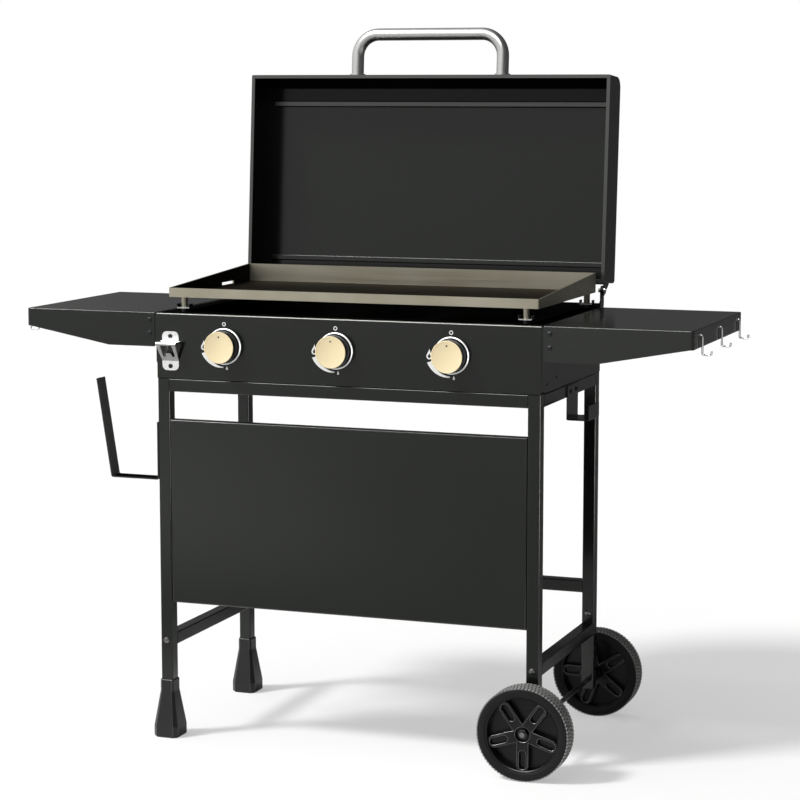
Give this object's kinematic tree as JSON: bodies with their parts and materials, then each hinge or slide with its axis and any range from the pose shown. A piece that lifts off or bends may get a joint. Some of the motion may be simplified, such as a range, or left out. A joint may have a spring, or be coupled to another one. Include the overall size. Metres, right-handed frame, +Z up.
{
  "type": "flat top griddle station",
  "caption": "Gas flat top griddle on a wheeled cart with a hinged hood, side shelves with tool hooks, push-and-turn burner knobs and a lift-off steel hot plate.",
  "frame": {"origin": "on the floor, under the middle of the whole part's box", "axes": "+Z up, +X to the wheeled right-hand side as seen from the front, +Y to the rear"},
  "size_m": [1.3966, 0.6116, 1.3996],
  "materials": {
    "black_coat": "satin powder coat",
    "zinc_steel": "zinc plated",
    "stainless": "brushed",
    "bright_chrome": "polished",
    "plate_steel": "seasoned",
    "valve_brass": "machined",
    "igniter_ceramic": "glazed",
    "black_plastic": "matte",
    "tread": "matte",
    "knob_face": "satin"
  },
  "bodies": {
    "cart": {"front_left_leg": "black_coat", "front_right_leg": "black_coat", "rear_left_leg": "black_coat", "rear_right_leg": "black_coat", "upper_front_rail": "black_coat", "upper_rear_rail": "black_coat", "upper_side_rails": "black_coat", "lower_side_rails": "black_coat", "rear_cross_bar": "black_coat", "front_cover_panel": "black_coat", "control_panel": "black_coat", "left_side_panel": "black_coat", "right_side_panel": "black_coat", "rear_panel": "black_coat", "shelf_brackets": "black_coat", "left_shelf": "black_coat", "right_shelf": "black_coat", "left_bar_bracket": "black_coat", "right_hook_bracket": "black_coat", "hinge_brackets": "black_coat", "wheel_axle": "zinc_steel", "axle_spacers": "zinc_steel", "axle_nuts": "zinc_steel", "hinge_pins": "zinc_steel", "shelf_bolts": "zinc_steel", "plate_foot_cups": "zinc_steel", "burner_tray": "zinc_steel", "gas_manifold": "zinc_steel", "bottle_opener": "stainless", "left_burner": "stainless", "centre_burner": "stainless", "right_burner": "stainless", "left_hooks": "bright_chrome", "right_hooks": "bright_chrome", "knob_bezels": "bright_chrome", "valve_bodies": "valve_brass", "igniter_electrodes": "igniter_ceramic", "left_feet": "black_plastic"},
    "hood": {"hood_shell": "black_coat", "hood_stiffeners": "black_coat", "hood_handle": "stainless", "handle_flanges": "stainless", "hinge_arms": "black_coat"},
    "hot_plate": {"griddle_plate": "plate_steel", "plate_feet": "plate_steel"},
    "front_wheel_set": {"front_wheel": "black_plastic", "front_tyre": "tread"},
    "rear_wheel_set": {"rear_wheel": "black_plastic", "rear_tyre": "tread"},
    "left_valve": {"left_valve_plug": "valve_brass"},
    "left_dial": {"left_valve_stem": "zinc_steel", "left_knob": "knob_face"},
    "centre_valve": {"centre_valve_plug": "valve_brass"},
    "centre_dial": {"centre_valve_stem": "zinc_steel", "centre_knob": "knob_face"},
    "right_valve": {"right_valve_plug": "valve_brass"},
    "right_dial": {"right_valve_stem": "zinc_steel", "right_knob": "knob_face"}
  },
  "joints": [
    {"name": "hood_hinge", "type": "hinge", "parent": "cart", "child": "hood", "pos_m": [0, 0.20116, 0.875], "axis": [1, 0, 0], "range_deg": [0, 94.2]},
    {"name": "plate_lift", "type": "slide", "parent": "cart", "child": "hot_plate", "axis": [0, 0, 1], "range_m": [0, 0.025]},
    {"name": "front_wheel_spin", "type": "hinge", "parent": "cart", "child": "front_wheel_set", "pos_m": [0.3775, -0.28435, 0.089], "axis": [0, 1, 0], "continuous": true},
    {"name": "rear_wheel_spin", "type": "hinge", "parent": "cart", "child": "rear_wheel_set", "pos_m": [0.3775, 0.21865, 0.089], "axis": [0, 1, 0], "continuous": true},
    {"name": "left_knob_turn", "type": "hinge", "parent": "cart", "child": "left_valve", "pos_m": [-0.2473, -0.24085, 0.7834], "axis": [0, -1, 0], "range_deg": [0, 187]},
    {"name": "left_knob_push", "type": "slide", "parent": "left_valve", "child": "left_dial", "axis": [0, 1, 0], "range_m": [0, 0.0035], "stiffness_N_per_m": 1500, "springref_m": -0.002},
    {"name": "centre_knob_turn", "type": "hinge", "parent": "cart", "child": "centre_valve", "pos_m": [-0.0165, -0.24085, 0.7834], "axis": [0, -1, 0], "range_deg": [0, 187]},
    {"name": "centre_knob_push", "type": "slide", "parent": "centre_valve", "child": "centre_dial", "axis": [0, 1, 0], "range_m": [0, 0.0035], "stiffness_N_per_m": 1500, "springref_m": -0.002},
    {"name": "right_knob_turn", "type": "hinge", "parent": "cart", "child": "right_valve", "pos_m": [0.2154, -0.24085, 0.7834], "axis": [0, -1, 0], "range_deg": [0, 187]},
    {"name": "right_knob_push", "type": "slide", "parent": "right_valve", "child": "right_dial", "axis": [0, 1, 0], "range_m": [0, 0.0035], "stiffness_N_per_m": 1500, "springref_m": -0.002}
  ]
}
